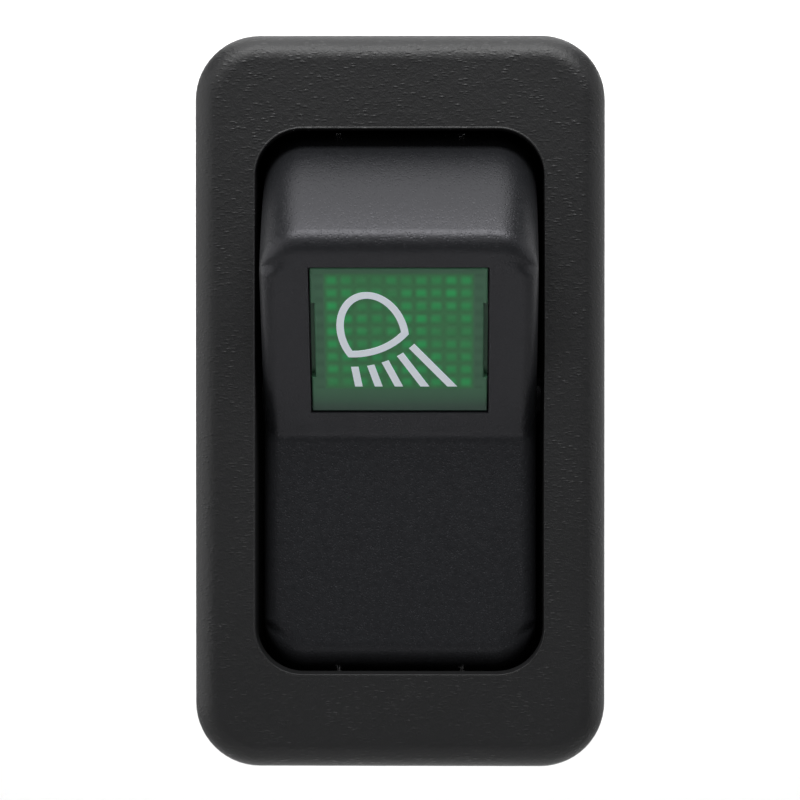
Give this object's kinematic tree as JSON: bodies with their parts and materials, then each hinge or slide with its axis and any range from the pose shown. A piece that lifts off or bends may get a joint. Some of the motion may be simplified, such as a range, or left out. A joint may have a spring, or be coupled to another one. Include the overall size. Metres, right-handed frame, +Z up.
{
  "type": "panel rocker switch",
  "caption": "Panel rocker switch: snap-in bezel, two-position rocker with a green lens and work-light sign, see-saw contacts and blade terminals behind.",
  "frame": {"origin": "middle of the bezel's rear face, where it lies on the panel", "axes": "+Z up along the switch's height, -Y out of the panel towards the user, +X to the user's right"},
  "size_m": [0.028, 0.0448, 0.05],
  "materials": {
    "bezel_plastic": "grained",
    "rocker_plastic": "fine spark-eroded",
    "block_plastic": "as moulded",
    "green_lens": "clear face over moulded prisms",
    "white_print": "pad printed",
    "tin_plate": "tin plated",
    "arm_copper": "rolled",
    "contact_silver": "silver alloy",
    "plunger_brass": "turned",
    "spring_steel": "drawn",
    "board_laminate": "solder mask",
    "lamp_resin": "clear moulded",
    "resistor_ceramic": "lacquered"
  },
  "bodies": {
    "housing": {"bezel": "bezel_plastic", "contact_block": "block_plastic", "common_terminal_left": "tin_plate", "common_terminal_right": "tin_plate", "load_terminal_left": "tin_plate", "load_terminal_right": "tin_plate", "lamp_terminal_negative": "tin_plate", "lamp_terminal_positive": "tin_plate", "fixed_contact_left": "contact_silver", "fixed_contact_right": "contact_silver", "lamp_board": "board_laminate", "lamp": "lamp_resin", "resistor": "resistor_ceramic"},
    "rocker": {"rocker": "rocker_plastic", "rocker_lens": "green_lens", "work_light_sign": "white_print", "plunger_spring_left": "spring_steel", "plunger_spring_right": "spring_steel"},
    "plunger_left": {"plunger_left": "plunger_brass"},
    "plunger_right": {"plunger_right": "plunger_brass"},
    "contact_arm_left": {"contact_arm_left": "arm_copper", "moving_contact_left": "contact_silver"},
    "contact_arm_right": {"contact_arm_right": "arm_copper", "moving_contact_right": "contact_silver"}
  },
  "joints": [
    {"name": "rocker_tilt", "type": "hinge", "parent": "housing", "child": "rocker", "pos_m": [0, 0.0069, 0], "axis": [-1, 0, 0], "range_deg": [0, 30]},
    {"name": "plunger_left_slide", "type": "slide", "parent": "rocker", "child": "plunger_left", "axis": [0, -0.9659, -0.2588], "range_m": [0, 0.001], "stiffness_N_per_m": 300, "springref_m": -0.004, "deforming": ["plunger_spring_left"]},
    {"name": "plunger_right_slide", "type": "slide", "parent": "rocker", "child": "plunger_right", "axis": [0, -0.9659, -0.2588], "range_m": [0, 0.001], "stiffness_N_per_m": 300, "springref_m": -0.004, "deforming": ["plunger_spring_right"]},
    {"name": "contact_arm_left_tilt", "type": "hinge", "parent": "housing", "child": "contact_arm_left", "pos_m": [-0.0053, 0.01718, 0], "axis": [-1, 0, 0], "range_deg": [-15, 0]},
    {"name": "contact_arm_right_tilt", "type": "hinge", "parent": "housing", "child": "contact_arm_right", "pos_m": [0.0053, 0.01718, 0], "axis": [-1, 0, 0], "range_deg": [-15, 0]}
  ],
  "couplings": [
    {"joint": "contact_arm_left_tilt", "follows": "rocker_tilt", "ratio": -0.5},
    {"joint": "contact_arm_right_tilt", "follows": "rocker_tilt", "ratio": -0.5}
  ]
}
